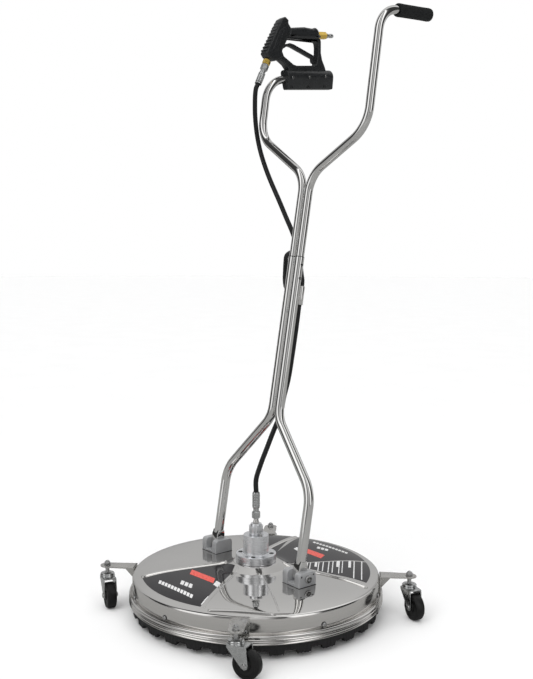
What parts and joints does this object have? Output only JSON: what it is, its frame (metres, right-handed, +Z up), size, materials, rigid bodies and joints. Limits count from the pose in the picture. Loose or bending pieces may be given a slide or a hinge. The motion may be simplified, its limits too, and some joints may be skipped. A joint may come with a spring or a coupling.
{
  "type": "surface cleaner",
  "caption": "Walk-behind pressure surface cleaner: round steel deck on swivel casters, spinning spray bar, brush skirt, folding twin-tube handle with trigger gun and foam grip.",
  "frame": {"origin": "on the ground, in the middle of the machine's footprint; the deck's axis is at x 0, y -65 mm", "axes": "+Z up; -Y is the machine's front and the operator walks behind it at +Y; X runs along the handle's pivot"},
  "size_m": [0.6395, 0.7545, 1.5179],
  "materials": {
    "mirror_steel": "polished stainless",
    "brushed_steel": "brushed stainless",
    "zinc": "zinc plated",
    "aluminium": "satin turned",
    "bracket_alloy": "satin",
    "brass": "machined",
    "black_plastic": "matte",
    "hose_rubber": "semi-gloss",
    "wheel_rubber": "matte",
    "bristle": "matte",
    "foam": "foam",
    "seal_rubber": "matte"
  },
  "bodies": {
    "deck": {"deck_shell": "mirror_steel", "skirt_band": "brushed_steel", "brush_skirt": "bristle", "swivel_housing": "aluminium", "swivel_cap": "aluminium", "bearing_lower": "brushed_steel", "bearing_upper": "brushed_steel", "shaft_seal": "seal_rubber", "grease_plug": "zinc", "inlet_nipple": "mirror_steel", "swivel_hose_end": "zinc", "hose_lower": "hose_rubber", "bracket_left": "bracket_alloy", "bracket_right": "bracket_alloy", "pivot_bolt_left": "zinc", "pivot_bolt_right": "zinc", "caster_arm_front": "brushed_steel", "caster_stem_front": "zinc", "caster_arm_left": "brushed_steel", "caster_stem_left": "zinc", "caster_arm_right": "brushed_steel", "caster_stem_right": "zinc", "caster_arm_back": "brushed_steel", "caster_stem_back": "zinc"},
    "rotor": {"rotor_shaft": "brushed_steel", "spray_bar": "mirror_steel", "nozzle_near": "brass", "nozzle_far": "brass"},
    "handle_lower": {"lower_tube_left": "mirror_steel", "lower_tube_right": "mirror_steel", "hose_guide": "mirror_steel"},
    "handle_upper": {"upper_tube_left": "mirror_steel", "upper_tube_right": "mirror_steel", "foam_grip": "foam", "gun_shell_outer": "black_plastic", "gun_shell_inner": "black_plastic", "valve_body": "brass", "inlet_fitting": "brass", "inlet_plug": "zinc", "outlet_fitting": "brass", "gun_hose_end": "zinc", "trigger_pin": "zinc", "hose_upper": "hose_rubber"},
    "trigger": {"trigger": "black_plastic"},
    "trigger_lock": {"trigger_lock": "black_plastic"},
    "snap_button_left": {"snap_button_left": "black_plastic"},
    "snap_button_right": {"snap_button_right": "black_plastic"},
    "caster_front": {"caster_fork_front": "zinc", "caster_axle_front": "zinc"},
    "wheel_front": {"caster_wheel_front": "wheel_rubber"},
    "caster_left": {"caster_fork_left": "zinc", "caster_axle_left": "zinc"},
    "wheel_left": {"caster_wheel_left": "wheel_rubber"},
    "caster_right": {"caster_fork_right": "zinc", "caster_axle_right": "zinc"},
    "wheel_right": {"caster_wheel_right": "wheel_rubber"},
    "caster_back": {"caster_fork_back": "zinc", "caster_axle_back": "zinc"},
    "wheel_back": {"caster_wheel_back": "wheel_rubber"}
  },
  "joints": [
    {"name": "handle_fold", "type": "hinge", "parent": "deck", "child": "handle_lower", "pos_m": [0, -0.065, 0.13], "axis": [-1, 0, 0], "range_deg": [-9, 62], "deforming": ["hose_lower"]},
    {"name": "handle_slide", "type": "slide", "parent": "handle_lower", "child": "handle_upper", "axis": [0, 0.1693, 0.9856], "range_m": [-0.034, 0], "deforming": ["hose_upper", "snap_button_left", "snap_button_right"]},
    {"name": "trigger_squeeze", "type": "hinge", "parent": "handle_upper", "child": "trigger", "pos_m": [-0.209, 0.17938, 1.4372], "axis": [1, 0, 0], "range_deg": [0, 14], "stiffness_Nm_per_rad": 1.2, "springref_deg": -8.59},
    {"name": "lock_flip", "type": "hinge", "parent": "trigger", "child": "trigger_lock", "pos_m": [-0.209, 0.29678, 1.42038], "axis": [1, 0, 0], "range_deg": [-25, 0]},
    {"name": "button_left", "type": "slide", "parent": "handle_upper", "child": "snap_button_left", "axis": [1, 0, 0], "range_m": [0, 0.0026], "stiffness_N_per_m": 900, "springref_m": -0.0015},
    {"name": "button_right", "type": "slide", "parent": "handle_upper", "child": "snap_button_right", "axis": [-1, 0, 0], "range_m": [0, 0.0026], "stiffness_N_per_m": 900, "springref_m": -0.0015},
    {"name": "rotor_spin", "type": "hinge", "parent": "deck", "child": "rotor", "pos_m": [0, -0.065, 0.062], "axis": [0, 0, 1], "continuous": true},
    {"name": "swivel_front", "type": "hinge", "parent": "deck", "child": "caster_front", "pos_m": [0.26757, -0.33257, 0.075], "axis": [0, 0, 1], "continuous": true},
    {"name": "roll_front", "type": "hinge", "parent": "caster_front", "child": "wheel_front", "pos_m": [0.29204, -0.32116, 0.03175], "axis": [-0.4226, 0.9063, 0], "continuous": true},
    {"name": "swivel_left", "type": "hinge", "parent": "deck", "child": "caster_left", "pos_m": [-0.26757, -0.33257, 0.075], "axis": [0, 0, 1], "continuous": true},
    {"name": "roll_left", "type": "hinge", "parent": "caster_left", "child": "wheel_left", "pos_m": [-0.24189, -0.34091, 0.03175], "axis": [0.309, 0.9511, 0], "continuous": true},
    {"name": "swivel_right", "type": "hinge", "parent": "deck", "child": "caster_right", "pos_m": [0.26757, 0.20257, 0.075], "axis": [0, 0, 1], "continuous": true},
    {"name": "roll_right", "type": "hinge", "parent": "caster_right", "child": "wheel_right", "pos_m": [0.29325, 0.19423, 0.03175], "axis": [0.309, 0.9511, 0], "continuous": true},
    {"name": "swivel_back", "type": "hinge", "parent": "deck", "child": "caster_back", "pos_m": [-0.26757, 0.20257, 0.075], "axis": [0, 0, 1], "continuous": true},
    {"name": "roll_back", "type": "hinge", "parent": "caster_back", "child": "wheel_back", "pos_m": [-0.24098, 0.19788, 0.03175], "axis": [0.1736, 0.9848, 0], "continuous": true}
  ]
}
